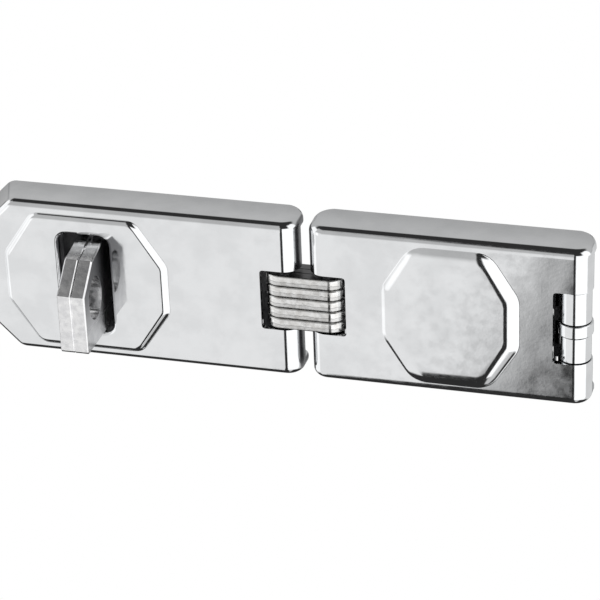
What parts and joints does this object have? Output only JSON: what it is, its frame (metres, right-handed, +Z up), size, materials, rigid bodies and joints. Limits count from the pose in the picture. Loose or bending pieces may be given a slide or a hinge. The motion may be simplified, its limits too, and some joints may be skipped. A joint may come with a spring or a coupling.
{
  "type": "double-jointed hasp and staple",
  "caption": "Jointed steel hasp: two pressed covers with raised octagons, joined by stacked link plates, hinged on a base plate and closed over an eyed staple.",
  "frame": {"origin": "middle of the back face of the hinge base plate, on the plane of the door's face", "axes": "+X along the hasp towards its hinged end, +Y into the door out of the base plate's back, +Z up the door, so the fronts face -Y"},
  "size_m": [0.1951, 0.0335, 0.052],
  "materials": {
    "plated_cover": "bright zinc plate on pressed sheet, faint mottling",
    "plated_plate": "bright zinc plate, slightly duller than the covers",
    "hardened_staple": "plated hardened steel, matt mottled faces",
    "sheared_link": "plated over sheared edges, half smooth and half torn",
    "hardened_pin": "turned and plated"
  },
  "bodies": {
    "base": {"hinge_base_plate": "plated_plate", "base_hinge_pin": "hardened_pin", "base_hinge_collar": "plated_plate", "staple_base_plate": "plated_plate", "staple_leaf_left": "hardened_staple", "staple_leaf_right": "hardened_staple"},
    "hinge_cover": {"hinge_cover": "plated_cover", "link_pin_hinge_side": "hardened_pin"},
    "link": {"link_plate_1": "sheared_link", "link_plate_2": "sheared_link", "link_plate_3": "sheared_link", "link_plate_4": "sheared_link", "link_plate_5": "sheared_link"},
    "hasp_cover": {"hasp_cover": "plated_cover", "link_pin_hasp_side": "hardened_pin"}
  },
  "joints": [
    {"name": "base_hinge", "type": "hinge", "parent": "base", "child": "hinge_cover", "pos_m": [0.0368, -0.0088, 0], "axis": [0, 0, 1], "range_deg": [0, 180]},
    {"name": "link_hinge", "type": "hinge", "parent": "hinge_cover", "child": "link", "pos_m": [-0.0393, -0.0088, 0], "axis": [0, 0, 1], "range_deg": [0, 85]},
    {"name": "hasp_hinge", "type": "hinge", "parent": "link", "child": "hasp_cover", "pos_m": [-0.0527, -0.0088, 0], "axis": [0, 0, 1], "range_deg": [0, 85]}
  ]
}
